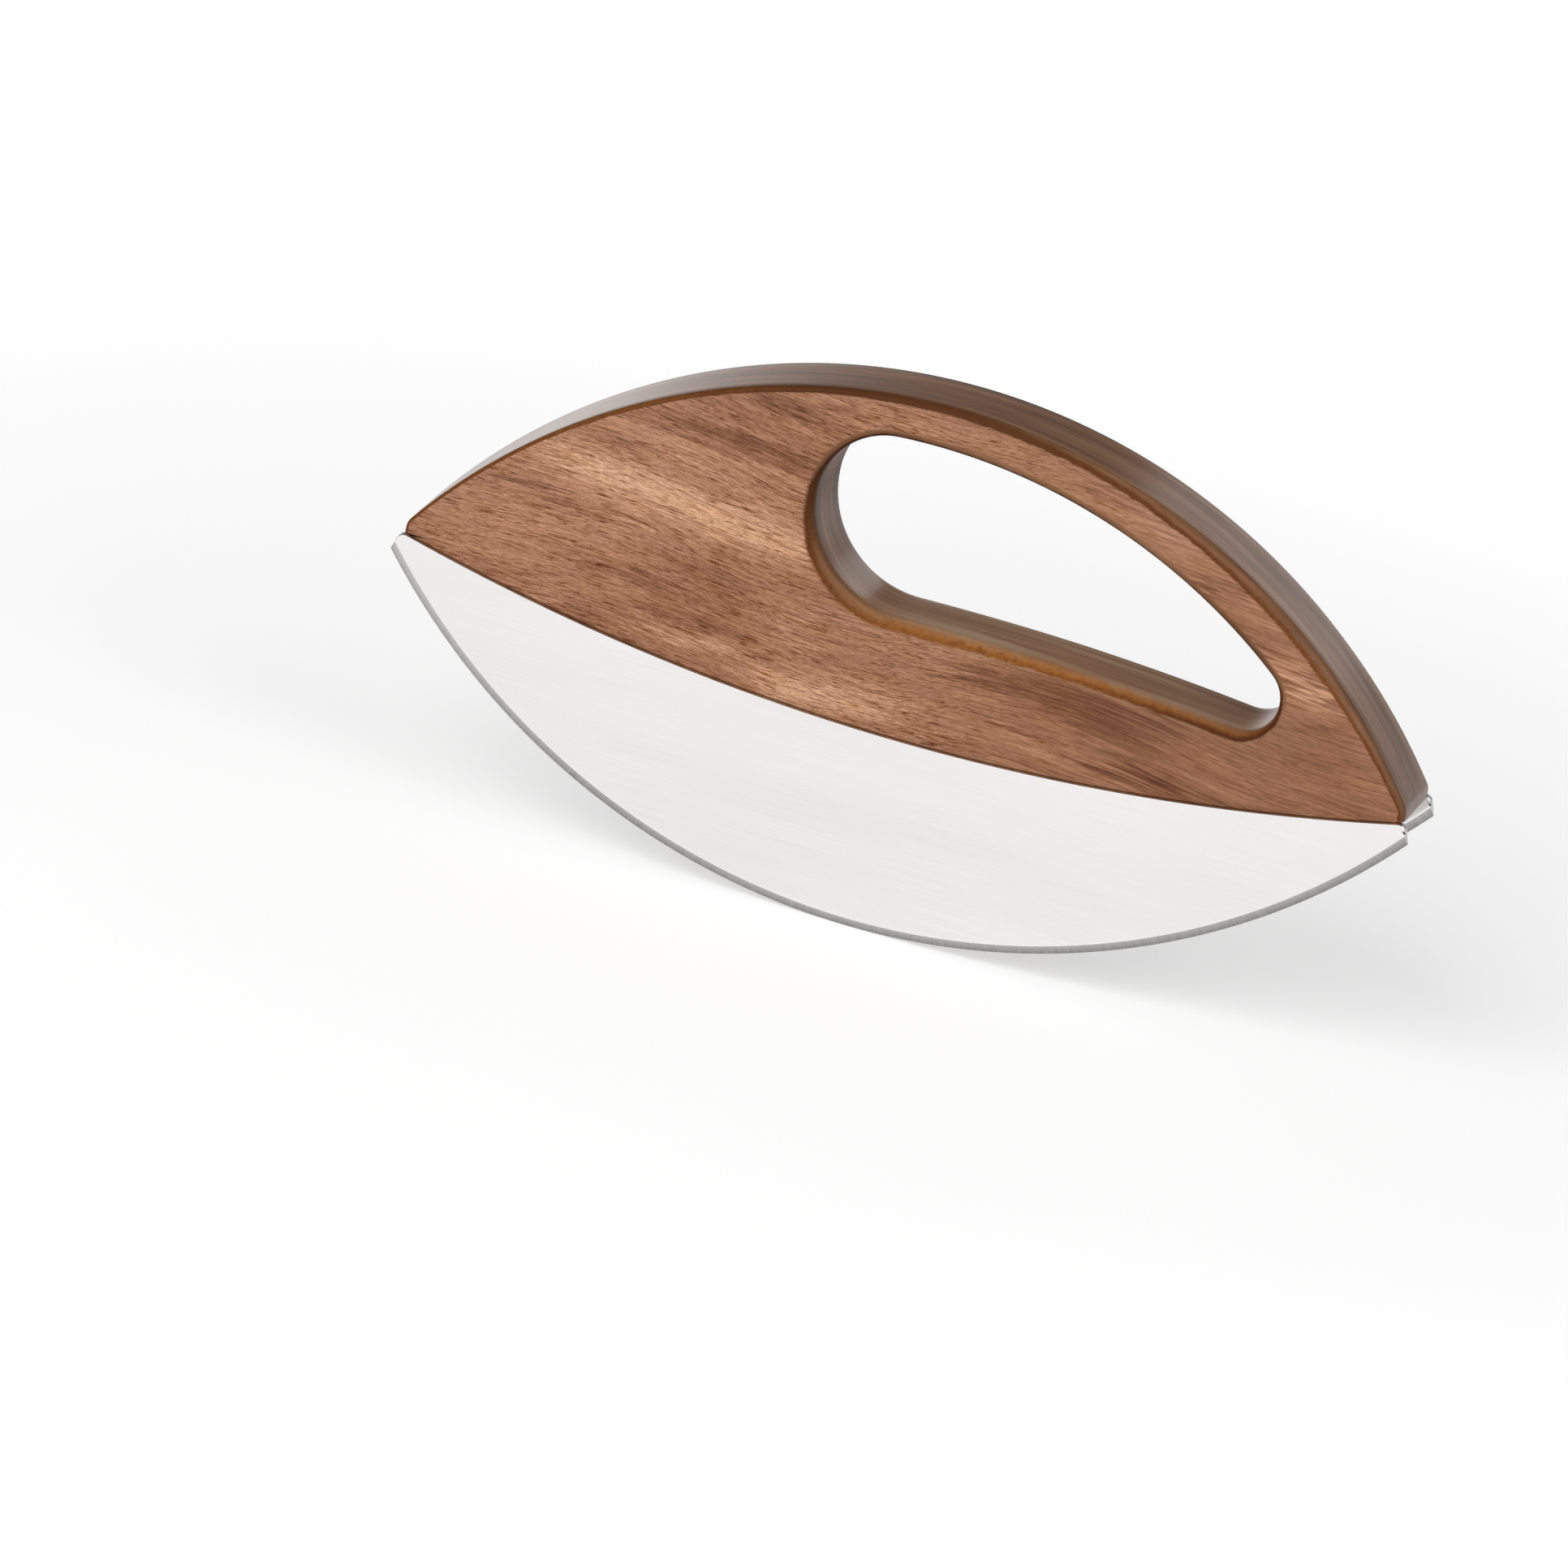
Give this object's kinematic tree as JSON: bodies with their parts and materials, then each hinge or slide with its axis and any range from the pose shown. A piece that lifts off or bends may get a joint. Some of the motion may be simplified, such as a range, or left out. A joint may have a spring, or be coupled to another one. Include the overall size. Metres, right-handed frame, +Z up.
{
  "type": "mezzaluna",
  "caption": "One-hand mezzaluna: a rounded wooden handle with an off-centre hand hole over parallel curved steel blades that rock on their edges to chop herbs.",
  "frame": {"origin": "middle of the footprint, at the lowest point of the cutting edges", "axes": "+X along the blades, towards the end with the hand hole; +Y from the front blade to the rear blade; +Z up"},
  "size_m": [0.22, 0.025, 0.1125],
  "materials": {
    "oiled_wood": "oiled, satin, with open grain",
    "brushed_blade": "brushed along the blade, with ground bevels",
    "bracket_steel": "plain rolled",
    "screw_steel": "plain turned"
  },
  "bodies": {
    "root": {"handle": "oiled_wood", "front_blade": "brushed_blade", "rear_blade": "brushed_blade", "left_bracket": "bracket_steel", "middle_bracket": "bracket_steel", "right_bracket": "bracket_steel", "left_screw_1": "screw_steel", "left_screw_2": "screw_steel", "middle_screw_1": "screw_steel", "middle_screw_2": "screw_steel", "right_screw_1": "screw_steel", "right_screw_2": "screw_steel"}
  },
  "joints": []
}
